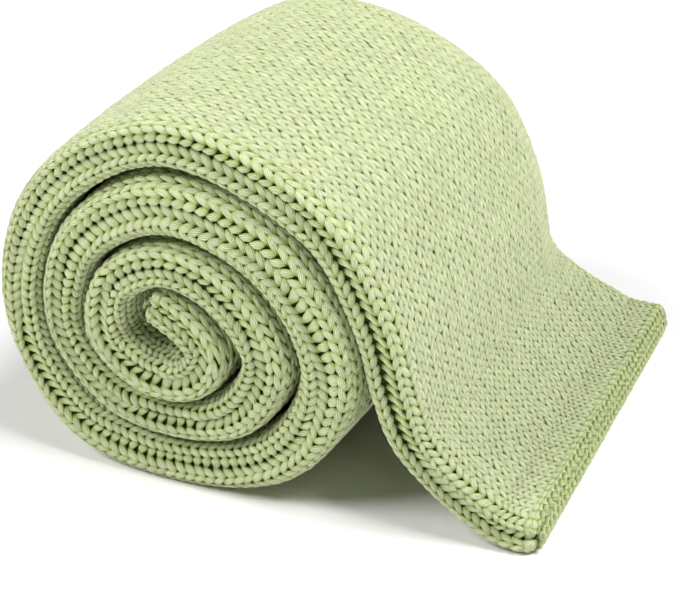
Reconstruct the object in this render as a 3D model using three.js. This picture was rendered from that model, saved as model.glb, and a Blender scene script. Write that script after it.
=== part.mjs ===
// A thick knitted blanket, rolled up from its inner end, with its loose end lying out on the
// surface. Millimetres, Z up. The roll's axis runs along Y, the end that shows the turns is at
// -Y, and the loose end lies toward +X. The origin is under the middle of the whole.

import * as THREE from 'three';

// The cloth: two knitted faces, with round edges and a shallow groove between the faces.
const CLOTH_WIDTH = 300;
const COLOUR = 0xb9c68c;

// The roll, from the inner end, folded back into the core, to the place where the loose end
// leaves it. Each row is a place that the cloth's middle line passes: the angle round the core
// the way the cloth winds outward, clockwise from straight right, and the distance from the core.
const CORE_HEIGHT = 112.6;
const WINDING = [
  { angle: -112, radius: 34, thick: 29, slide: -5, wider: 0 },
  { angle: -88, radius: 25, thick: 30.5, slide: -5, wider: 0 },
  { angle: -45, radius: 21.5, thick: 32, slide: -5, wider: 0 },
  { angle: 0, radius: 24.5, thick: 33, slide: -5, wider: 0 },
  { angle: 45, radius: 24.5, thick: 33.5, slide: -5, wider: 0 },
  { angle: 90, radius: 26, thick: 34, slide: -5, wider: 0 },
  { angle: 135, radius: 33, thick: 34.8, slide: -5, wider: 0 },
  { angle: 180, radius: 47, thick: 34.8, slide: -5, wider: 0 },
  { angle: 225, radius: 54.5, thick: 29.8, slide: -5, wider: 0 },
  { angle: 270, radius: 59.6, thick: 30.4, slide: -4.5, wider: 0 },
  { angle: 315, radius: 60.1, thick: 35.4, slide: -4, wider: 0 },
  { angle: 360, radius: 66.3, thick: 35.5, slide: -3.5, wider: 0 },
  { angle: 405, radius: 61.4, thick: 35.2, slide: -3, wider: 0 },
  { angle: 450, radius: 59.6, thick: 27.3, slide: -2.5, wider: 0 },
  { angle: 495, radius: 69.6, thick: 31.8, slide: -2, wider: 0 },
  { angle: 540, radius: 82.2, thick: 28.3, slide: -2, wider: 0 },
  { angle: 585, radius: 89.3, thick: 33.8, slide: -2, wider: 0 },
  { angle: 630, radius: 100.4, thick: 41.8, slide: -2, wider: 0 },
  { angle: 675, radius: 103.3, thick: 42.8, slide: -2, wider: 0 },
  { angle: 720, radius: 107.7, thick: 40.8, slide: -1, wider: 0 },
  { angle: 765, radius: 101.3, thick: 38.3, slide: -1, wider: 0 },
  { angle: 810, radius: 94.6, thick: 36.8, slide: -1, wider: 0 },
  { angle: 855, radius: 110.5, thick: 42.8, slide: 0, wider: 0 },
  { angle: 900, radius: 115.5, thick: 33.3, slide: 0, wider: 0 },
  { angle: 945, radius: 124.5, thick: 31.8, slide: 0, wider: 0 },
  { angle: 990, radius: 142, thick: 32.8, slide: 0, wider: 0 },
  { angle: 1035, radius: 145, thick: 32.8, slide: 0, wider: 0 },
  { angle: 1062, radius: 144.5, thick: 32.8, slide: 0, wider: 0 },
];

// The loose end, from the roll's right side down to the surface: distance right of the core,
// height of the middle line, thickness, slide along the axis, extra width, how far the roll's
// swell still reaches, and how much further right the far edge lies than the near one.
const LOOSE_END = [
  { out: 151, up: 108, thick: 33.5, slide: 1, wider: -5, swell: 0.8, skew: 0 },
  { out: 160.5, up: 80, thick: 33, slide: 2, wider: -6, swell: 0.45, skew: 0 },
  { out: 173.5, up: 61, thick: 33, slide: 4, wider: -3, swell: 0.2, skew: 0 },
  { out: 188.5, up: 44, thick: 32, slide: 7, wider: 4, swell: 0.05, skew: 1 },
  { out: 205.5, up: 28.5, thick: 31, slide: 10, wider: 12, swell: 0, skew: 2 },
  { out: 217.5, up: 19, thick: 31, slide: 12, wider: 17, swell: 0, skew: 3 },
  { out: 230, up: 15, thick: 31, slide: 13, wider: 19, swell: 0, skew: 4 },
  { out: 247.5, up: 14.8, thick: 30, slide: 15, wider: 19, swell: 0, skew: 6 },
];

// The roll is fuller in the middle than at its two ends, where the edges draw the turns in:
// share of the way across, and share of the greatest swell.
const SWELL = 0.07;
const SWELL_ACROSS = [
  { across: 0, share: 0 },
  { across: 0.05, share: 0.13 },
  { across: 0.2, share: 0.48 },
  { across: 0.4, share: 0.8 },
  { across: 0.6, share: 1 },
  { across: 0.74, share: 1 },
  { across: 0.86, share: 0.3 },
  { across: 0.94, share: -0.75 },
  { across: 1, share: -1.6 },
];

// The section of an edge, from a face to the groove: how far out from the middle line as a
// share of half the thickness, and how far in from the edge.
const EDGE_SECTION = [
  { out: 1, inset: 13 },
  { out: 0.9, inset: 5.5 },
  { out: 0.66, inset: 1 },
  { out: 0.38, inset: 0.5 },
  { out: 0.12, inset: 3.5 },
];

// The cloth's two ends are rounded: how far back from the end, and the share of the thickness.
const END_ROUNDING = [
  { back: 0, share: 0.55 },
  { back: 1.2, share: 0.78 },
  { back: 4.5, share: 0.94 },
  { back: 10, share: 1 },
];
const CORNER_ROUNDING = 16;

// The roll's two ends are a little out of square with its axis.
const OUT_OF_SQUARE = 0.1;

// How finely the solid is stepped, along the cloth and across its faces.
const STEP_ALONG = 12.5;
const STEPS_ACROSS = 7;

// One row for each place that the cloth's middle line passes.
function middleRows() {
  const turns = WINDING.map(({ angle, radius, ...sizes }) => ({
    x: radius * Math.cos(THREE.MathUtils.degToRad(angle)),
    z: CORE_HEIGHT - radius * Math.sin(THREE.MathUtils.degToRad(angle)),
    ...sizes,
    swell: 1,
    skew: 0,
  }));
  const loose = LOOSE_END.map(({ out, up, ...sizes }) => ({ x: out, z: up, ...sizes }));
  return [...turns, ...loose];
}

// The share of the swell at a share of the way across the cloth.
function swellAcross(across) {
  const next = Math.max(SWELL_ACROSS.findIndex((row) => row.across >= across), 1);
  const [from, to] = [SWELL_ACROSS[next - 1], SWELL_ACROSS[next]];
  return THREE.MathUtils.mapLinear(across, from.across, to.across, from.share, to.share);
}

// Stations along a smooth line through the rows, with the cloth's sizes at each.
function stations() {
  const rows = middleRows();
  const middle = new THREE.CatmullRomCurve3(rows.map((row) => new THREE.Vector3(row.x, 0, row.z)));
  middle.arcLengthDivisions = 2000;
  const sizesAt = (at) => {
    const place = Math.min(at * (rows.length - 1), rows.length - 1.001);
    const [from, to] = [rows[Math.floor(place)], rows[Math.floor(place) + 1]];
    const mix = (name) => THREE.MathUtils.lerp(from[name], to[name], place % 1);
    return {
      thick: mix('thick'),
      slide: mix('slide'),
      wider: mix('wider'),
      swell: mix('swell'),
      skew: mix('skew'),
    };
  };
  const length = middle.getLength();
  const ends = END_ROUNDING.map((row) => ({ distance: row.back, share: row.share }));
  const deepest = ends[ends.length - 1].distance;
  const count = Math.round((length - 2 * deepest) / STEP_ALONG);
  const step = (length - 2 * deepest) / count;
  const places = [...ends];
  for (let index = 1; index < count; index += 1) {
    places.push({ distance: deepest + index * step, share: 1 });
  }
  for (const end of [...ends].reverse()) {
    places.push({ distance: length - end.distance, share: end.share });
  }
  return places.map(({ distance, share }) => {
    const at = middle.getUtoTmapping(distance / length);
    const point = middle.getPoint(at);
    const along = middle.getTangent(at);
    const { thick, slide, wider, swell, skew } = sizesAt(at);
    const squareness = OUT_OF_SQUARE * point.x + slide;
    const corner = CORNER_ROUNDING * (1 - share);
    return {
      point,
      outward: new THREE.Vector3(along.z, 0, -along.x).negate(),
      half: (thick / 2) * share,
      near: squareness - CLOTH_WIDTH / 2 + corner,
      far: squareness + CLOTH_WIDTH / 2 + wider - corner,
      swell,
      skew,
    };
  });
}

// The closed section of the cloth at one station, as places across it: y along the roll's axis,
// and the share of half the thickness, which is positive on the outer face.
function section(station) {
  const edge = [...EDGE_SECTION, ...[...EDGE_SECTION].reverse().map((row) => ({ ...row, out: -row.out }))];
  const nearEdge = edge.map((row) => ({ y: station.near + row.inset, out: row.out }));
  const farEdge = [...edge].reverse().map((row) => ({ y: station.far - row.inset, out: row.out }));
  const face = (from, to) => Array.from({ length: STEPS_ACROSS - 1 }, (_, index) => ({
    y: THREE.MathUtils.lerp(from.y, to.y, (index + 1) / STEPS_ACROSS),
    out: from.out,
  }));
  const innerFace = face(nearEdge[nearEdge.length - 1], farEdge[0]);
  const outerFace = face(farEdge[farEdge.length - 1], nearEdge[0]);
  return [...nearEdge, ...innerFace, ...farEdge, ...outerFace];
}

// The whole cloth: one closed solid through the sections of all its stations. What would reach
// under the surface is flattened on it.
function clothGeometry() {
  const positions = [];
  const indices = [];
  const list = stations();
  let ring = 0;
  for (const station of list) {
    const places = section(station);
    ring = places.length;
    for (const { y, out } of places) {
      const across = (y - station.near) / (station.far - station.near);
      const grown = 1 + SWELL * station.swell * swellAcross(across);
      const skewed = station.skew * (across - 0.5);
      const x = (station.point.x + station.outward.x * station.half * out) * grown + skewed;
      const z = (station.point.z + station.outward.z * station.half * out) * grown;
      positions.push(x, y, Math.max(z, 0));
    }
  }
  for (let row = 0; row < list.length - 1; row += 1) {
    for (let column = 0; column < ring; column += 1) {
      const a = row * ring + column;
      const b = row * ring + ((column + 1) % ring);
      indices.push(a, b, a + ring, b, b + ring, a + ring);
    }
  }
  for (const [row, turned] of [[0, true], [list.length - 1, false]]) {
    const middle = positions.length / 3;
    const { point, near, far } = list[row];
    positions.push(point.x, (near + far) / 2, Math.max(point.z, 0));
    for (let column = 0; column < ring; column += 1) {
      const a = row * ring + column;
      const b = row * ring + ((column + 1) % ring);
      indices.push(middle, turned ? b : a, turned ? a : b);
    }
  }
  const geometry = new THREE.BufferGeometry();
  geometry.setAttribute('position', new THREE.Float32BufferAttribute(positions, 3));
  geometry.setIndex(indices);
  geometry.computeBoundingBox();
  const centre = geometry.boundingBox.getCenter(new THREE.Vector3());
  geometry.translate(-centre.x, -centre.y, 0);
  geometry.computeVertexNormals();
  return geometry;
}

const yarn = new THREE.MeshStandardMaterial({ color: COLOUR, roughness: 0.9, metalness: 0 });
const blanket = new THREE.Mesh(clothGeometry(), yarn);
blanket.name = 'blanket';

const rolledBlanket = new THREE.Group();
rolledBlanket.add(blanket);

export default rolledBlanket;
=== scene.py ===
import math

import bpy
import numpy as np
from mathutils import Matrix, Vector


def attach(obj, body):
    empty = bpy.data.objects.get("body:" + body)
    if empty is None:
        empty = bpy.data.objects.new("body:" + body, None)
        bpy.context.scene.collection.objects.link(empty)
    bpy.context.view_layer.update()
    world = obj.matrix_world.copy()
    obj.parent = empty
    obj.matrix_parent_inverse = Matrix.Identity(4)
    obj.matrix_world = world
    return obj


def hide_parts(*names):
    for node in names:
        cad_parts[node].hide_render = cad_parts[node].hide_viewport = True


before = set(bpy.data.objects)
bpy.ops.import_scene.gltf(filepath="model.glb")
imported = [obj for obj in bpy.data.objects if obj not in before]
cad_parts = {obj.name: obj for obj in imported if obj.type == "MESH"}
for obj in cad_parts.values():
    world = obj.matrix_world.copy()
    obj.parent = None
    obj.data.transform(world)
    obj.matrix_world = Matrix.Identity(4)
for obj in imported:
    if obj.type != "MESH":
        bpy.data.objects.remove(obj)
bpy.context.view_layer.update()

# The blanket itself: a thick double cloth, rolled up from its inner end, with its loose end lying
# out. This is the ground of the knit, painted nearly black as the shade that shows only in small
# holes between the stitches, and it stands for the rigid blanket of the frame.
CORE_HEIGHT = 112.6
MIDDLE = (54.524, 22.636)  # the middle of the whole: right of the core, and along its axis
CLOTH_WIDTH = 300.0
WINDING = [  # angle, radius, thickness, slide
    (-112, 34, 29, -5), (-88, 25, 30.5, -5), (-45, 21.5, 32, -5), (0, 24.5, 33, -5),
    (45, 24.5, 33.5, -5), (90, 26, 34, -5), (135, 33, 34.8, -5), (180, 47, 34.8, -5),
    (225, 54.5, 29.8, -5), (270, 59.6, 30.4, -4.5), (315, 60.1, 35.4, -4),
    (360, 66.3, 35.5, -3.5), (405, 61.4, 35.2, -3), (450, 59.6, 27.3, -2.5),
    (495, 69.6, 31.8, -2), (540, 82.2, 28.3, -2), (585, 89.3, 33.8, -2),
    (630, 100.4, 41.8, -2), (675, 103.3, 42.8, -2), (720, 107.7, 40.8, -1),
    (765, 101.3, 38.3, -1), (810, 94.6, 36.8, -1), (855, 110.5, 42.8, 0),
    (900, 115.5, 33.3, 0), (945, 124.5, 31.8, 0), (990, 142, 32.8, 0),
    (1035, 145, 32.8, 0), (1062, 144.5, 32.8, 0),
]
LOOSE_END = [  # out, up, thickness, slide, wider, swell, skew
    (151, 108, 33.5, 1, -5, 0.8, 0), (160.5, 80, 33, 2, -6, 0.45, 0),
    (173.5, 61, 33, 4, -3, 0.2, 0), (188.5, 44, 32, 7, 4, 0.05, 1),
    (205.5, 28.5, 31, 10, 12, 0, 2), (217.5, 19, 31, 12, 17, 0, 3),
    (230, 15, 31, 13, 19, 0, 4), (247.5, 14.8, 30, 15, 19, 0, 6),
]
SWELL = 0.07  # how much fuller the roll is in its middle, then its shares on the way across
SWELL_AT = (0, 0.05, 0.2, 0.4, 0.6, 0.74, 0.86, 0.94, 1)
SWELL_SHARE = (0, 0.13, 0.48, 0.8, 1, 1, 0.3, -0.75, -1.6)
OUT_OF_SQUARE = 0.1
END_BACK = (0, 1.2, 4.5, 10)  # how far back from an end, then the shares of the thickness
END_SHARE = (0.55, 0.78, 0.94, 1)
CORNER_ROUNDING = 16.0
LINE_STEPS = 60
GRID_STEP = 0.5
SOFTEN_REACH, SOFTEN_WIDTH = 30, 12  # in steps of the grid


def smooth_line(points, steps):
    """A smooth line through the points, and the row number at each of its places."""
    rows = np.vstack([2 * points[0] - points[1], points, 2 * points[-1] - points[-2]])
    t = np.linspace(0, 1, steps, endpoint=False)[:, None]
    places, numbers = [], []
    for i in range(len(points) - 1):
        a, b, c, d = rows[i:i + 4]
        k0, k1, k2 = (np.linalg.norm(p - q) ** 0.5 for p, q in ((b, a), (c, b), (d, c)))
        m1 = ((b - a) / k0 - (c - a) / (k0 + k1) + (c - b) / k1) * k1
        m2 = ((c - b) / k1 - (d - b) / (k1 + k2) + (d - c) / k2) * k1
        places.append(b + m1 * t + (3 * (c - b) - 2 * m1 - m2) * t ** 2
                      + (2 * (b - c) + m1 + m2) * t ** 3)
        numbers.append(i + t[:, 0])
    places.append(points[-1:])
    numbers.append([len(points) - 1.0])
    return np.vstack(places), np.concatenate(numbers)


def distances(places):
    """How far along a line each of its places lies."""
    return np.concatenate([[0], np.cumsum(np.linalg.norm(np.diff(places, axis=0), axis=1))])


rows = np.array([
    (radius * math.cos(math.radians(angle)), CORE_HEIGHT - radius * math.sin(math.radians(angle)),
     thick, slide, 0, 1, 0)
    for angle, radius, thick, slide in WINDING] + LOOSE_END, float)
line, number = smooth_line(rows[:, :2], LINE_STEPS)
run = distances(line)
LENGTH = run[-1]
GRID = np.arange(0, LENGTH + GRID_STEP, GRID_STEP)
middle_x, middle_z = (np.interp(GRID, run, line[:, k]) for k in (0, 1))
thick, slide, wider, swell, skew = (
    np.interp(np.interp(GRID, run, number), np.arange(len(rows)), rows[:, k]) for k in range(2, 7))
softening = np.exp(-0.5 * (np.arange(-SOFTEN_REACH, SOFTEN_REACH + 1) / SOFTEN_WIDTH) ** 2)
softening /= softening.sum()


def soften(values):
    """Values along the cloth without their corners."""
    return np.convolve(np.pad(values, SOFTEN_REACH, mode="edge"), softening, mode="valid")


thick, slide, wider, swell, skew = map(soften, (thick, slide, wider, swell, skew))
end_share = np.interp(np.minimum(GRID, LENGTH - GRID), END_BACK, END_SHARE)
corner = CORNER_ROUNDING * (1 - end_share)
along_x, along_z = np.gradient(middle_x), np.gradient(middle_z)
along = np.hypot(along_x, along_z)
COLUMNS = np.stack([  # middle line, way outward, half thickness, near edge, width, swell, skew
    middle_x, middle_z, -along_z / along, along_x / along, thick / 2 * end_share,
    OUT_OF_SQUARE * middle_x + slide - CLOTH_WIDTH / 2 + corner,
    CLOTH_WIDTH + wider - 2 * corner, swell, skew])

# The section of the cloth's edge, from the inner face round the groove between the faces to the
# outer one: how far in from the edge, and how far out as a share of half the thickness.
EDGE_SECTION = np.array([(13, -1), (5.5, -0.9), (1, -0.66), (0.5, -0.38), (3.5, -0.12), (3.5, 0.12),
                         (0.5, 0.38), (1, 0.66), (5.5, 0.9), (13, 1), (20, 1)], float)
HALF_AS_DRAWN = 16.5
FACE_INSET = 13
PAST_GROOVE = 5
CURVE_STEPS = 40
EDGE_PLACES = 200
edge_curve, _ = smooth_line(EDGE_SECTION * (1, HALF_AS_DRAWN), CURVE_STEPS)
edge_run = distances(edge_curve)
edge_run -= np.interp(0, edge_curve[:, 1], edge_run)
on_face = (edge_run >= PAST_GROOVE) & (edge_curve[:, 0] >= FACE_INSET - 1e-6)
EDGE_ARC = float(edge_run[np.argmax(on_face)])
EDGE_AT = np.linspace(0, EDGE_ARC, EDGE_PLACES)
EDGE_INSET = np.interp(EDGE_AT, edge_run, edge_curve[:, 0])
EDGE_OUT = np.interp(EDGE_AT, edge_run, edge_curve[:, 1]) / HALF_AS_DRAWN


def cloth_place(distance, across, side):
    """A place on a face of the cloth: how far along it, how far across from the near groove, and
    which face, 1 for the outer one and -1 for the inner one."""
    inside = np.clip(distance, 0, LENGTH - GRID_STEP)
    at = inside / GRID_STEP
    low = at.astype(int)
    x, z, out_x, out_z, half, near, width, swell, skew = (
        COLUMNS[:, low] * (1 - (at - low)) + COLUMNS[:, low + 1] * (at - low))
    whole = 2 * EDGE_ARC + width - 2 * FACE_INSET
    from_edge = np.minimum(across, whole - across)
    depth = np.abs(from_edge)
    inset = np.interp(depth, EDGE_AT, EDGE_INSET) + np.maximum(depth - EDGE_ARC, 0)
    out = np.interp(depth, EDGE_AT, EDGE_OUT) * np.sign(from_edge) * side
    over = np.where(across < whole / 2, inset, width - inset)
    grown = 1 + SWELL * swell * np.interp(over / width, SWELL_AT, SWELL_SHARE)
    px = (x + out_x * half * out) * grown + skew * (over / width - 0.5)
    pz = np.maximum((z + out_z * half * out) * grown, 0)
    beyond = distance - inside
    return np.stack([
        px - MIDDLE[0] + beyond * out_z, near + over - MIDDLE[1], pz - beyond * out_x], -1)


def cloth_width_across(distance):
    """The way across a face from the near groove to the far one."""
    return 2 * EDGE_ARC + np.interp(distance, GRID, COLUMNS[6]) - 2 * FACE_INSET


SLOPE_ALONG, SLOPE_ACROSS = 1, 1.2  # how far to each side the lie of the cloth is taken


def cloth_point(distance, across, side, lift):
    """A place so far over a face of the cloth, or under it where lift is less than 0."""
    place = cloth_place(distance, across, side)
    lengthwise = (cloth_place(distance + SLOPE_ALONG, across, side)
                  - cloth_place(distance - SLOPE_ALONG, across, side))
    crosswise = (cloth_place(distance, across + SLOPE_ACROSS, side)
                 - cloth_place(distance, across - SLOPE_ACROSS, side))
    normal = np.cross(lengthwise, crosswise) * np.asarray(side, float)[..., None]
    normal /= np.linalg.norm(normal, axis=-1, keepdims=True) + 1e-9
    return place + normal * np.asarray(lift, float)[..., None]


def tube_faces(size, levels, count=1):
    """The faces of tubes with so many rings, of so many points each, closed at both ends. The
    points of a tube are those of its rings and then one for each end."""
    per = size * levels + 2
    last = (levels - 1) * size
    i, j = np.meshgrid(np.arange(levels - 1), np.arange(size), indexing="ij")
    a, b = (i * size + j).ravel(), (i * size + (j + 1) % size).ravel()
    quads = np.stack([a, b, b + size, a + size], -1)
    j = np.arange(size)
    ends = np.concatenate([
        np.stack([np.full(size, per - 2), (j + 1) % size, j], -1),
        np.stack([np.full(size, per - 1), last + j, last + (j + 1) % size], -1)])
    shift = (np.arange(count) * per)[:, None, None]
    return [(faces + shift).reshape(-1, faces.shape[1]) for faces in (quads, ends)]


def make_mesh(name, points, faces, attributes=()):
    """A mesh object in metres from points in millimetres, with smooth faces."""
    mesh = bpy.data.meshes.new(name)
    sizes = np.concatenate([np.full(len(f), f.shape[1]) for f in faces])
    corners = np.concatenate([f.ravel() for f in faces])
    mesh.vertices.add(len(points))
    mesh.vertices.foreach_set("co", (points * 0.001).astype(np.float32).ravel())
    mesh.loops.add(len(corners))
    mesh.loops.foreach_set("vertex_index", corners.astype(np.int32))
    mesh.polygons.add(len(sizes))
    starts = np.concatenate([[0], np.cumsum(sizes)[:-1]])
    mesh.polygons.foreach_set("loop_start", starts.astype(np.int32))
    for label, values in attributes:
        kind, field = ("FLOAT_VECTOR", "vector") if values.ndim == 2 else ("FLOAT", "value")
        layer = mesh.attributes.new(label, kind, "POINT")
        layer.data.foreach_set(field, values.astype(np.float32).ravel())
    mesh.update(calc_edges=True)
    mesh.validate()
    mesh.polygons.foreach_set("use_smooth", np.ones(len(mesh.polygons), bool))
    piece = bpy.data.objects.new(name, mesh)
    bpy.context.collection.objects.link(piece)
    return piece


GROUND_DEPTH = 2.6
GROUND_CLEARANCE = 0.4
GROUND_STEP = 7.5
GROUND_STEPS_ACROSS = 24
GROUND_EDGE = np.array([0, 1.5, 3, 5, 7.5, 10.5, 14, 18, 22, 26.5])  # mm across from a groove
GROUND_STATIONS = np.concatenate([  # mm along, closest at the two rounded ends
    [0, 1.2, 4.5], np.arange(9, LENGTH - 8, GROUND_STEP), LENGTH - np.array([4.5, 1.2, 0.6])])
rings = []
for station in GROUND_STATIONS:
    whole = cloth_width_across(station)
    face = np.linspace(GROUND_EDGE[-1], whole - GROUND_EDGE[-1], GROUND_STEPS_ACROSS)[1:-1]
    over = np.concatenate([GROUND_EDGE, face, whole - GROUND_EDGE[::-1]])
    rings.append(np.vstack([cloth_point(station, over, 1, -GROUND_DEPTH),
                            cloth_point(station, over[-2:0:-1], -1, -GROUND_DEPTH)]))
ground_points = np.vstack(rings + [ring.mean(0) for ring in (rings[0], rings[-1])])
ground_points[:, 2] = np.maximum(ground_points[:, 2], GROUND_CLEARANCE)
ground = make_mesh("blanket_ground", ground_points, [
    np.roll(faces[:, ::-1], 1, axis=1) for faces in tube_faces(len(rings[0]), len(rings))])

# Painted shade: the ground is coloured nearly black, with a little noise, for the shade in the
# holes between the stitches.
GROUND_SHADE = (0.02, 0.034, 0.002, 1)
GROUND_SHADE_LIGHTER = (0.05, 0.078, 0.01, 1)
FLUFF = {"Scale": 420, "Detail": 3}
SHINE = 0.25


def set_inputs(node, constants):
    """A node with constants on its inputs."""
    for label, value in constants.items():
        node.inputs[label].default_value = value
    return node


def new_material(name, roughness):
    """A material, its nodes and its shader."""
    material = bpy.data.materials.new(name)
    material.use_nodes = True
    shader = material.node_tree.nodes["Principled BSDF"]
    set_inputs(shader, {"Roughness": roughness, "Specular IOR Level": SHINE})
    return material, material.node_tree, shader


def add_relief(tree, shader, height, strength, distance):
    """Relief on a shader, from a height that changes over the surface."""
    bump = set_inputs(
        tree.nodes.new("ShaderNodeBump"), {"Strength": strength, "Distance": distance})
    tree.links.new(height, bump.inputs["Height"])
    tree.links.new(bump.outputs["Normal"], shader.inputs["Normal"])


# The ground's material paints shade: nearly black, a little lighter in a fine noise.
ground_shade_material, tree, shader = new_material("ground_painted_shade", 0.95)
fluff = set_inputs(tree.nodes.new("ShaderNodeTexNoise"), FLUFF)
ground_shade_tones = tree.nodes.new("ShaderNodeValToRGB")
ground_shade_tones.color_ramp.elements[0].color = GROUND_SHADE
ground_shade_tones.color_ramp.elements[1].color = GROUND_SHADE_LIGHTER
tree.links.new(fluff.outputs["Fac"], ground_shade_tones.inputs["Fac"])
tree.links.new(ground_shade_tones.outputs["Color"], shader.inputs["Base Color"])
add_relief(tree, shader, fluff.outputs["Fac"], strength=0.6, distance=0.0012)
ground.data.materials.append(ground_shade_material)
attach(ground, "root")
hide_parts("blanket")

# The stitches of the two faces: plain knit in soft yarn. Each stitch shows as a V of two legs
# that meet toward the loose end, in chains that run along the cloth, about 8.5 mm wide. The
# outermost chains turn round the two edges, where they drift a little to one side and the other.
COURSE = 7.35
FACE_CHAINS = 33
WIDER_CHAIN = 0.085  # every second chain is wider by this share, and the others narrower
# Each row: mm along, then the lines where the legs meet, in mm across from the groove.
EDGE_CHAINS = np.array([
    (0, -19.5, -14.5, -9.5, -5, -1, 9.5, 15), (45, -19.5, -15, -10, -5.5, -1.5, 8.5, 14),
    (60, -24, -18, -13, -8.5, -3.5, 3.3, 10), (88, -25, -20, -14.5, -9.5, -3.5, 4, 9.3),
    (100, -30, -25, -20, -15, -9, 3.5, 8), (125, -30, -25, -20, -15.3, -9.5, 3, 7.5),
    (150, -31, -26, -21, -16.5, -10, 2, 7.5), (175, -27, -21, -16, -11, -4, 3, 10),
    (195, -23, -17, -12, -7, 0, 9, 15), (225, -22, -16.5, -11, -6, -0.5, 10.3, 16),
    (250, -21, -16, -10.5, -5.5, -0.7, 10.5, 15.5), (275, -21, -16, -10.5, -6, -2.7, 9.5, 15.5),
    (300, -22, -17, -11.5, -6.5, -2.2, 9, 14.7), (312, -24, -18.5, -13, -8, -3.3, 5.5, 13),
    (325, -27, -22, -16, -11, -4.5, 1.5, 11), (350, -28, -23, -17, -12, -4, 2.5, 10),
    (375, -28, -23, -17, -12, -2.7, 3.8, 9.5), (400, -29, -24, -19, -13.5, -2, 3.5, 9.3),
    (408, -30, -25, -20, -15, -3, 3.3, 9.5), (418, -32, -27, -22, -17.5, -9.5, 3.2, 9.5),
    (455, -32, -27, -22, -17, -9, 3.8, 9.5), (468, -31, -26, -21, -15.5, -2, 4.3, 8.5),
    (500, -30, -25, -19.5, -14, 0.3, 6, 9.5), (525, -30, -25, -19.5, -14, 0, 6, 10),
    (550, -29, -24, -19, -13.5, -2, 5, 10), (575, -28, -23, -18.5, -13, -0.5, 6, 12),
    (600, -25, -20, -15, -9.5, 2, 9, 13), (625, -22, -16.5, -11, -5.7, 2.3, 9, 12.8),
    (650, -21, -16, -11, -5, 1.5, 8.8, 12.8), (680, -20, -15, -9.8, -3.6, 1.3, 8.4, 12.5),
    (705, -19, -14, -9.4, -3.3, 1.2, 11.2, 15), (750, -18, -13, -8.3, -3, 1.5, 12, 16),
    (775, -17, -12, -7.5, -3, 2.5, 12.3, 16), (786, -16.5, -11.5, -7.2, -2.8, 8.5, 12.7, 16.5),
    (800, -16, -10.5, -6.7, -2.5, 9, 13.2, 17.3), (825, -15, -10, -6, -1.5, 9.5, 14, 18),
    (850, -13.5, -8.5, -4, 2, 10, 14.5, 18.5), (875, -11.5, -5.5, -1.7, 5.5, 11.3, 16, 20),
    (887, -10.5, -3.5, 0.6, 8, 14.3, 18.5, 22), (900, -9.5, -2.5, 2.5, 9.7, 14.7, 19, 23),
    (925, -10, -2, 3.5, 10, 15.5, 20, 24), (950, -10.3, 0, 5, 11, 16, 20, 24),
    (975, -10, 1.5, 7, 12.5, 17, 21, 25), (1000, -10, 0.5, 6.7, 12.5, 17, 21, 25),
    (1025, -9, 2, 8, 13, 17.5, 21.5, 25.5), (1050, -10, 2, 7.3, 12.5, 17, 21, 25),
    (1075, -8.7, 2.3, 6.5, 12, 17, 21.5, 25.5), (1100, -9.7, 3.5, 8, 13, 18, 22, 26),
    (1125, -9.5, 4.3, 9, 14, 19.5, 23.5, 27), (1150, -9.5, 4.3, 9.5, 14.5, 19.5, 23.5, 27),
    (1162, -10.5, 2, 7, 12.5, 17.5, 22, 26), (1175, -12.5, -0.5, 5, 11, 16, 20.5, 24.5),
    (1200, -12.5, -1.2, 3.8, 9, 14.5, 18.5, 22.5), (1225, -13, -3.5, 2.5, 8.5, 13, 17, 21.5),
    (1250, -13.5, -6, 1.5, 7.5, 12, 16, 20), (1275, -12, -5, 2, 8.7, 13.2, 17, 20.5),
    (1300, -10, -3.5, 2, 9.2, 14.3, 17.3, 20.3), (1325, -10, -4.5, 1.5, 9.5, 14, 16.8, 19.8),
    (1350, -10, -5.2, 0, 8.7, 13.5, 16.5, 19.5), (1375, -10, -4.8, 0.5, 9.7, 14.7, 18, 21.5),
    (1400, -10.3, -4.4, 1, 11.5, 16.7, 20.7, 23.7), (1450, -10, -4, 0.8, 11.3, 16.7, 20.8, 24),
    (1475, -10, -5, -0.2, 10.5, 16, 19.8, 23.8), (1500, -12.5, -7.5, -2.8, 8.8, 14.3, 18.3, 22.5),
    (1550, -13, -8, -3, 9.5, 14, 18.4, 22.6), (1600, -13.5, -8.5, -3.8, 9.5, 13.5, 19, 23),
    (1625, -13, -8, -3.8, 9.8, 13.8, 19.3, 23.5), (1650, -12.5, -7.5, -2.7, 7, 11.5, 17, 22.5),
    (1675, -13.5, -8.5, -4, 5, 9.5, 16.8, 22.5), (1700, -12.5, -7.5, -2.7, 7, 11.5, 19.5, 24.5),
    (1712, -11, -6, -1, 9, 14, 20.8, 25.5), (1725, -11.5, -6.5, -1.5, 8.5, 13.5, 20, 25),
    (1750, -13, -8, -3.5, 6, 10.5, 17.5, 23)], float)
LAST_LINE = EDGE_CHAINS.shape[1] - 2
GROOVE_OPEN = np.array([  # mm along, and how far the groove between the two faces is open
    (0, 1), (40, 1), (50, 0), (92, 0), (98, 1), (125, 1), (132, 0.2), (250, 0.1), (258, 0.9),
    (268, 0.9), (275, 0.4), (310, 0.6), (318, 0), (408, 0), (415, 1), (460, 1), (468, 0), (700, 0),
    (708, 1), (775, 1), (782, 0), (995, 0.1), (1010, 0.5), (1045, 0.5), (1060, 0.7), (1100, 0.9),
    (1150, 1), (1158, 0.2), (1225, 0), (1378, 0), (1392, 0.9), (1440, 0.9), (1465, 0.3),
    (1490, 0.5), (1500, 1), (1545, 1.1), (1555, 1.7), (1640, 1.7), (1652, 0.3),
    (1750, 0.2)], float)

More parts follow.
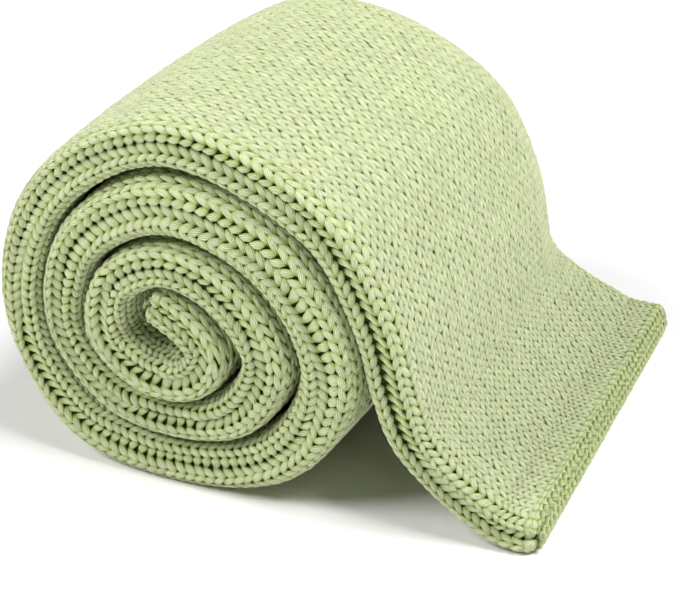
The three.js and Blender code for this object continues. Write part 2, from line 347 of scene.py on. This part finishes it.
# The shape of a leg: the places round its section, its rings from start to end, and how full
# each ring is. Those that face the camera are the finest.
FULL_LEG = (np.radians([-28, 20, 60, 120, 160, 208, 270]),
            np.array([0, 0.05, 0.18, 0.4, 0.64, 0.85, 0.96, 1]),
            np.array([0, 0.5, 0.86, 1.0, 0.97, 0.74, 0.42, 0]))
PLAIN_LEG = (np.radians([-25, 38, 90, 142, 205]),
             np.array([0, 0.07, 0.26, 0.52, 0.78, 0.94, 1]),
             np.array([0, 0.55, 0.95, 1.0, 0.85, 0.48, 0]))
SPARE_LEG = (np.radians([-20, 55, 125, 200]),
             np.array([0, 0.09, 0.35, 0.7, 0.93, 1]),
             np.array([0, 0.6, 1.0, 0.92, 0.5, 0]))
START_STRAY, END_STRAY, SIZE_STRAY, LIFT_STRAY = 0.22, 0.18, 0.05, 0.12
RISE, FALL = 0.42, 0.58  # the shares of a leg before and after its crest
# How deep below a crest the painted shade reaches its darkest.
FULL_SHADE_DEPTH = 2.75
YARN_CLEARANCE = 0.2
chance = np.random.default_rng(23)


def edge_line(at, index):
    """Where a line between the legs lies, in mm across from the groove."""
    return np.interp(at, EDGE_CHAINS[:, 0], EDGE_CHAINS[:, index + 1])


def lay_legs(distance, side, start, end, wide, high, lift, dive, bow=0.0, leg=PLAIN_LEG,
             surface=cloth_point):
    """Short tapered lengths of yarn on the cloth, each from start to end as (along from its
    distance, across the cloth), with the tops at lift over the face and the two ends diving."""
    ring, levels, fullness = leg
    count = len(distance)

    def for_each(value, *shape):
        return np.broadcast_to(np.asarray(value, float), (count, *shape)).copy()

    side, wide, high, lift, bow = map(for_each, (side, wide, high, lift, bow))
    start, end, dive = (for_each(value, 2) for value in (start, end, dive))
    start += chance.normal(0, START_STRAY, (count, 2))
    end += chance.normal(0, END_STRAY, (count, 2))
    wide *= 1 + chance.normal(0, SIZE_STRAY, count)
    high *= 1 + chance.normal(0, SIZE_STRAY, count)
    lift += chance.normal(0, LIFT_STRAY, count)
    tone = chance.random(count)
    way = end - start
    length = np.linalg.norm(way, axis=1)
    way /= length[:, None]
    square = np.stack([-way[:, 1], way[:, 0]], -1)
    t = levels[None, :]
    bowed = (bow[:, None] * np.sin(np.pi * t))[..., None]
    centre = start[:, None] + (end - start)[:, None] * t[..., None] + square[:, None] * bowed
    drop = (dive[:, :1] * np.clip(1 - t / RISE, 0, 1) ** 2
            + dive[:, 1:] * np.clip((t - RISE) / FALL, 0, 1) ** 2)
    full = fullness[None, :]
    sideways = (full * wide[:, None])[..., None] * np.cos(ring)
    upward = (full * high[:, None])[..., None] * np.sin(ring)
    place = centre[:, :, None] + square[:, None, None] * sideways[..., None]
    height = lift[:, None, None] - high[:, None, None] - drop[..., None] + upward
    shape = place.shape[:3]
    points = surface(
        (distance[:, None, None] + place[..., 0]).ravel(), place[..., 1].ravel(),
        np.broadcast_to(side[:, None, None], shape).ravel(), height.ravel()).reshape(*shape, 3)
    yarn = np.stack(np.broadcast_arrays(
        (length[:, None] * t)[..., None], sideways, tone[:, None, None]), -1)
    # Painted shade: how far each point lies below the leg's crest, which darkens its colour.
    painted_shade = np.clip((lift[:, None, None] - height) / FULL_SHADE_DEPTH, 0, 1)
    return tuple(
        np.concatenate([v[:, 1:-1].reshape(count, -1, *v.shape[3:]), v[:, [0, -1]].mean(2)], 1)
        for v in (points, yarn, painted_shade))


# How the legs of a chain lie, by the way from its border to its middle line, all in mm: how far
# a leg reaches along the cloth to each side of its course, and half its width.
LEG_SPAN = (3, 4, 6, 9)
LEG_REACH = (6.0, 5.5, 4.9, 4.1)
LEG_HALF_WIDTH = (1.9, 2.15, 2.8, 3.5)
LEG_OVERLAP = 0.5
LEG_BOW = 0.4
MIDDLE_GAP = 0.06
LINE_GAPS = (0.1, 0.25)  # the holes between the chains are longer at every second line
SLACK_NARROWS, SLACK_DIVES = 0.15, 1.8
START_DIVE, END_DIVE = 0.45, 0.55


def chain_legs(at, border, middle, side=1, slack=0.0, high=1.7, lift=0.0, leg=PLAIN_LEG,
               gap=LINE_GAPS[0]):
    """The legs of one side of a chain, from its border to its middle line, fuller at the border.
    Where they are slack they are narrower, and dive down at the border."""
    span, toward = np.abs(middle - border), np.sign(middle - border)
    reach = np.interp(span, LEG_SPAN, LEG_REACH)
    wide = np.interp(span, LEG_SPAN, LEG_HALF_WIDTH) * (1 - SLACK_NARROWS * slack)
    start = np.stack([-reach, border + toward * gap * wide], -1)
    end = np.stack([reach + LEG_OVERLAP, middle + toward * MIDDLE_GAP * span], -1)
    dive = np.stack(np.broadcast_arrays(
        (START_DIVE + SLACK_DIVES * slack) * high / 2, END_DIVE * high + 0 * span), -1)
    return lay_legs(
        at, side, start, end, wide, high, lift, dive, bow=-toward * LEG_BOW, leg=leg)


# The yarn: soft strands laid side by side and a little aslant, in colours with painted shade:
# lightest on the crest of a stitch, darkest deep down between the stitches and in the lines between
# the strands, each leg a little lighter or darker than the next.
# Painted shade: the colour on the crest, then at half depth, then deepest down between the
# stitches.
YARN_LIGHT = (0.82, 0.875, 0.585, 1)
YARN_HALF_SHADE = (0.52, 0.63, 0.19, 1)
YARN_PAINTED_SHADE = (0.055, 0.1, 0.005, 1)
STRANDS_PER_MM = 1.05
STRAND_SLANT = 0.2
TONE_SHIFT = 7.3  # so that no two legs have their strands in the same places
FIBRES = {"Scale": 1.0, "Detail": 4, "Roughness": 0.6}
FIBRES_ALONG, FIBRES_ACROSS, FIBRES_BY_LEG = 0.4, 2.0, 90.0
FIBRE_STRAY, FIBRE_RELIEF = 0.9, 0.55
STRAND_FLATNESS = 0.6  # below 1 the strands are flatter, and the lines between them narrower
# Painted shade and highlight: the colour is darker in the lines between the strands and a little
# lighter on their crests.
STRAND_PAINTED_SHADE = {"From Min": 0.25, "From Max": 1.3, "To Min": 0.62, "To Max": 1.08}
LEG_SHADE = (0.12, 0.94)  # how much the legs differ, and the shade of the darkest


def math_node(tree, operation, *values):
    """The result of a sum on values, each a number or the output of a node."""
    node = tree.nodes.new("ShaderNodeMath")
    node.operation = operation
    for socket, value in zip(node.inputs, values):
        if isinstance(value, (int, float)):
            socket.default_value = value
        else:
            tree.links.new(value, socket)
    return node.outputs[0]


def measured(tree, label):
    """A measure that the mesh carries."""
    node = tree.nodes.new("ShaderNodeAttribute")
    node.attribute_name = label
    return node


yarn_material, tree, shader = new_material("knit_yarn", 0.88)
set_inputs(shader, {"Sheen Weight": 0.15, "Sheen Roughness": 0.5})
parts = tree.nodes.new("ShaderNodeSeparateXYZ")
tree.links.new(measured(tree, "yarn").outputs["Vector"], parts.inputs["Vector"])
along_yarn, across_yarn, leg_tone = (parts.outputs[label] for label in "XYZ")
turn = math_node(tree, "MULTIPLY", leg_tone, TONE_SHIFT)
turn = math_node(tree, "MULTIPLY_ADD", across_yarn, STRANDS_PER_MM, turn)
turn = math_node(tree, "MULTIPLY_ADD", along_yarn, STRAND_SLANT, turn)
fibre_place = tree.nodes.new("ShaderNodeCombineXYZ")
for label, value, scale in (("X", along_yarn, FIBRES_ALONG), ("Y", turn, FIBRES_ACROSS),
                            ("Z", leg_tone, FIBRES_BY_LEG)):
    tree.links.new(math_node(tree, "MULTIPLY", value, scale), fibre_place.inputs[label])
fibres = set_inputs(tree.nodes.new("ShaderNodeTexNoise"), FIBRES)
tree.links.new(fibre_place.outputs["Vector"], fibres.inputs["Vector"])
strands = math_node(tree, "MULTIPLY_ADD", fibres.outputs["Fac"], FIBRE_STRAY, turn)
strands = math_node(tree, "SINE", math_node(tree, "MULTIPLY", strands, 2 * math.pi))
strands = math_node(tree, "MULTIPLY_ADD", strands, 0.5, 0.5)
strands = math_node(tree, "POWER", strands, STRAND_FLATNESS)
relief = math_node(tree, "MULTIPLY_ADD", fibres.outputs["Fac"], FIBRE_RELIEF, strands)
add_relief(tree, shader, relief, strength=0.9, distance=0.0006)
# Painted shade: the yarn's colour darkens and turns more olive with depth below the crest of the
# legs.
painted_shade_ramp = tree.nodes.new("ShaderNodeValToRGB")
stops = painted_shade_ramp.color_ramp.elements
stops[0].color = YARN_LIGHT
stops[1].color = YARN_PAINTED_SHADE
stops.new(0.5).color = YARN_HALF_SHADE
tree.links.new(measured(tree, "painted_shade").outputs["Fac"], painted_shade_ramp.inputs["Fac"])
# Painted shade and highlight from the strands' relief: darker in the grooves between strands,
# lighter on the strands.
painted_strand_lines = set_inputs(tree.nodes.new("ShaderNodeMapRange"), STRAND_PAINTED_SHADE)
tree.links.new(relief, painted_strand_lines.inputs["Value"])
spread = math_node(tree, "MULTIPLY_ADD", leg_tone, *LEG_SHADE)
strength = math_node(tree, "MULTIPLY", painted_strand_lines.outputs["Result"], spread)
shade = tree.nodes.new("ShaderNodeVectorMath")
shade.operation = "SCALE"
tree.links.new(painted_shade_ramp.outputs["Color"], shade.inputs[0])
tree.links.new(strength, shade.inputs["Scale"])
tree.links.new(shade.outputs["Vector"], shader.inputs["Base Color"])


def yarn_piece(name, groups, leg=PLAIN_LEG):
    """One mesh of all the legs in the groups, which carries the yarn's own measure: how far along
    it, how far to the side of its middle, and its tone."""
    points, yarn, painted_shade = (np.concatenate([group[k] for group in groups]) for k in range(3))
    faces = tube_faces(len(leg[0]), len(leg[1]) - 2, len(points))
    points = points.reshape(-1, 3)
    points[:, 2] = np.maximum(points[:, 2], YARN_CLEARANCE)
    # The mesh also carries how deep each point lies, which sets the painted shade of its colour.
    piece = make_mesh(name, points, faces, [("yarn", yarn.reshape(-1, 3)), ("painted_shade", painted_shade.ravel())])
    piece.data.materials.append(yarn_material)
    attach(piece, "root")


FACE_HIGH = 1.2
FACE_FROM = 885.0  # mm along, where the outer face comes out of the roll
UNDER_FROM = 1400.0  # and the inner face, under the loose end
LEAN = np.array([(1300, 0.05), (1350, 0.045), (1400, 0.03), (1450, 0)])
LAST_INNER_CHAIN = np.array([10.5, 5.5])  # past the first line of an edge: border and middle
COUNT = int(round(LENGTH / COURSE))
courses = (np.arange(COUNT) + 0.5) * (LENGTH / COUNT)


def face_legs(at, side, leg=PLAIN_LEG):
    """The two legs of each stitch on a face, for the given courses, between the edges' chains."""
    whole = cloth_width_across(at)
    first = edge_line(at, LAST_LINE) if side > 0 else LAST_INNER_CHAIN[0] - edge_line(at, 0)
    lean = np.interp(at, LEAN[:, 0], LEAN[:, 1])
    step = 1 / FACE_CHAINS
    groups = []
    for chain in range(FACE_CHAINS):
        widening = WIDER_CHAIN / 2 * step * (-1 if chain % 2 else 1)
        shares = np.array([chain, chain + 0.5, chain + 1]) * step + widening * np.array([-1, 0, 1])
        near, middle, far = (
            first + (whole - 2 * first) * (share - lean * 4 * share * (1 - share))
            for share in np.clip(shares, 0, 1))
        for border, row in ((near, chain), (far, chain + 1)):
            groups.append(chain_legs(
                at, border, middle, side, high=FACE_HIGH, leg=leg, gap=LINE_GAPS[row % 2]))
    return groups


outer_courses = courses[courses > FACE_FROM]
for name, part in zip(("low", "side", "top"), np.array_split(outer_courses, 3)):
    yarn_piece(f"outer_stitches_{name}", face_legs(part, 1))
yarn_piece("loose_end_under_stitches", face_legs(courses[courses > UNDER_FROM], -1, SPARE_LEG),
           SPARE_LEG)

# The edges: the chains of stitches that turn from one face round to the other, and the groove
# between the two faces, where the ends of the legs go down and leave gaps with bars of yarn. Where
# the cloth is covered, more chains go on past them, down between the turns and into the core.
EDGE_HIGH = 1.9
EDGE_LIFT = 0.6
BROAD_SPAN = 8
CHAIN = 8.4
DEEP_CHAINS = 3
CORE_UNTIL = 430.0
CORE_CHAINS = 6
slack = np.interp(courses, GROOVE_OPEN[:, 0], GROOVE_OPEN[:, 1])
edge_lines = [edge_line(courses, index) for index in range(LAST_LINE + 1)]
edge_lines = [edge_lines[0] - past for past in LAST_INNER_CHAIN] + edge_lines + [
    edge_lines[-1] + past for past in (CHAIN / 2, CHAIN)]


def from_groove(across, reach, near):
    """A way across from the near groove, or the same way from the far one."""
    return across if near else reach - across


for name, near, leg in (("near", True, FULL_LEG), ("far", False, PLAIN_LEG)):
    groups = []
    whole = cloth_width_across(courses)
    for index in range(len(edge_lines) - 1):
        border, middle = edge_lines[index], edge_lines[index + 1]
        if index % 2:
            border, middle = middle, border
        loose = slack * (np.abs(middle - border) > BROAD_SPAN) * (index % 2 == 0)
        keep = np.ones(COUNT, bool) if index < len(edge_lines) - 3 else courses < FACE_FROM
        border, middle = (from_groove(across, whole, near)[keep] for across in (border, middle))
        groups.append(chain_legs(
            courses[keep], border, middle, 1, loose[keep], EDGE_HIGH, EDGE_LIFT, leg))
    yarn_piece(f"{name}_edge_stitches", groups, leg)

    groups = []
    outer, inner = courses[courses < FACE_FROM], courses[courses < UNDER_FROM]
    for at, side, first in ((outer, 1, edge_line(outer, LAST_LINE) + CHAIN),
                            (inner, -1, LAST_INNER_CHAIN[0] - edge_line(inner, 0))):
        reach = cloth_width_across(at)
        for chain in range(CORE_CHAINS if near else DEEP_CHAINS):
            keep = np.ones(len(at), bool) if chain < DEEP_CHAINS else at < CORE_UNTIL
            for border, middle in ((0, CHAIN / 2), (CHAIN, CHAIN / 2)):
                border, middle = (from_groove(first + CHAIN * chain + past, reach, near)[keep]
                                  for past in (border, middle))
                groups.append(chain_legs(at[keep], border, middle, side, leg=SPARE_LEG))
    yarn_piece(f"{name}_edge_inner_stitches", groups, SPARE_LEG)

# The cloth's two ends: a chain of bound-off stitches along each face, and between them the
# thickness of the cloth, which shows rows of the same yarn laid across.
LINK = 7.4
LINK_HALF_WIDTH = 2.3
FIRST_LINK, LAST_LINK = 3, 12  # how far from the two grooves the first and the last link start
END_INSET = 0.6
END_HEIGHT = 16.5
END_ROWS = ((0.8, 1.2), (7.4, 2.4), (13.9, 4.0))  # down from the outer face, and out over the end
ROW_DIVE = (0.5, 1.0)
FACE_CHAIN_INSET = 3.4
FACE_CHAIN_LIFT = 1.2
FACE_CHAIN_DIVE = (0.4, 1.2)
# Of a leg: how far off the middle it starts and ends, how many links it spans, and half its height.
ROW_LEG = (3.3, 0.3, 1.25, 2.3)
FACE_CHAIN_LEG = (2.2, 0.5, 1.3, 2.2)


def end_surface(at):
    """The flat end of the cloth at that distance along it, measured down from the outer face. It
    is less high toward the two edges, so its rows come together there."""
    beyond, back = (-1.0, 1) if at < LENGTH / 2 else (LENGTH, -GRID_STEP)

    def end_point(down, across, side, lift):
        top, low = (cloth_place(at, across, face) for face in (1, -1))
        outward = cloth_place(beyond, across, side) - cloth_place(beyond + back, across, side)
        outward /= np.linalg.norm(outward, axis=-1, keepdims=True)
        return top + (low - top) * down[:, None] / END_HEIGHT + outward * lift[:, None]
    return end_point


def link_legs(at, side, links, shape, lift, dive, surface):
    """The two legs of each link of a chain across the cloth, which start apart and come together
    over the next link."""
    apart, together, spans, high = shape
    legs = []
    for offset in (-1, 1):
        start = np.stack([np.full(len(links), offset * apart), links], -1)
        end = np.stack([np.full(len(links), offset * together), links + spans * LINK], -1)
        legs.append(lay_legs(np.full(len(links), at), side, start, end, LINK_HALF_WIDTH, high,
                             lift, dive, surface=surface))
    return legs


for name, at, inward in (("inner", END_INSET, 1), ("loose", LENGTH - END_INSET, -1)):
    links = np.arange(FIRST_LINK, cloth_width_across(at) - LAST_LINK, LINK)
    groups = []
    for down, lift in END_ROWS:
        groups += link_legs(down, 1, links, ROW_LEG, lift, ROW_DIVE, end_surface(at))
    for side in (1, -1):
        groups += link_legs(at + inward * FACE_CHAIN_INSET, side, links, FACE_CHAIN_LEG,
                            FACE_CHAIN_LIFT, FACE_CHAIN_DIVE, cloth_point)
    yarn_piece(f"{name}_end_chain", groups)

# The floor, the soft light of a white studio, and the camera. The floor is matt and white, and
# glows more the further it lies from the blanket, so that it runs out into white.
FLOOR_REACH = 60
FLOOR_WHITE = (0.95, 0.95, 0.95, 1)
WHITE = (1, 1, 1, 1)
GLOW_FROM, GLOW_FULL = 0.21, 1.5
ROOM_LIGHT = 0.08
floor_mesh = bpy.data.meshes.new("floor")
floor_mesh.from_pydata([(x * FLOOR_REACH, y * FLOOR_REACH, 0)
                        for x, y in ((-1, -1), (1, -1), (1, 1), (-1, 1))], [], [(0, 1, 2, 3)])
floor = bpy.data.objects.new("floor", floor_mesh)
bpy.context.collection.objects.link(floor)
floor_material, tree, shader = new_material("floor", 0.9)
set_inputs(shader, {"Base Color": FLOOR_WHITE, "Emission Color": WHITE})
place = tree.nodes.new("ShaderNodeNewGeometry")
far_off = tree.nodes.new("ShaderNodeVectorMath")
far_off.operation = "LENGTH"
tree.links.new(place.outputs["Position"], far_off.inputs[0])
glow = set_inputs(tree.nodes.new("ShaderNodeMapRange"), {
    "From Min": GLOW_FROM, "From Max": GLOW_FULL})
glow.interpolation_type = "SMOOTHSTEP"
tree.links.new(far_off.outputs["Value"], glow.inputs["Value"])
tree.links.new(glow.outputs["Result"], shader.inputs["Emission Strength"])
floor.data.materials.append(floor_material)

world = bpy.data.worlds.new("studio")
bpy.context.scene.world = world
world.use_nodes = True
set_inputs(world.node_tree.nodes["Background"], {"Color": WHITE, "Strength": ROOM_LIGHT})

LIT_PLACE = Vector((0, 0, 0.1))


def area_light(name, place, size, power):
    """A round soft light that shines on the blanket."""
    data = bpy.data.lights.new(name, "AREA")
    data.shape = "DISK"
    data.size = size
    data.energy = power
    light = bpy.data.objects.new(name, data)
    light.location = place
    light.rotation_mode = "QUATERNION"
    light.rotation_quaternion = (LIT_PLACE - Vector(place)).to_track_quat("-Z", "Y")
    bpy.context.collection.objects.link(light)


area_light("high_light", (1.15, 0.0, 2.2), size=1.2, power=62)
area_light("side_light", (-1.3, -1.4, 2.0), size=1.0, power=47)

AZIMUTH, ELEVATION = math.radians(26.969), math.radians(30.06)
CAMERA_PLACE = (0.34418, -0.71094, 0.534)
SENSOR_WIDTH = 36
FOCAL_LENGTH, PHOTO_WIDTH = 1200, 679  # in pixels of the photo
camera = bpy.data.objects.new("camera", bpy.data.cameras.new("camera"))
bpy.context.collection.objects.link(camera)
camera.location = CAMERA_PLACE
back = Vector((
    math.sin(AZIMUTH) * math.cos(ELEVATION), -math.cos(AZIMUTH) * math.cos(ELEVATION),
    math.sin(ELEVATION)))
camera.rotation_mode = "QUATERNION"
camera.rotation_quaternion = (-back).to_track_quat("-Z", "Y")
camera.data.sensor_width = SENSOR_WIDTH
camera.data.lens = SENSOR_WIDTH * FOCAL_LENGTH / PHOTO_WIDTH
camera.data.clip_start = 0.01
bpy.context.scene.camera = camera
bpy.context.scene.view_settings.view_transform = "Standard"
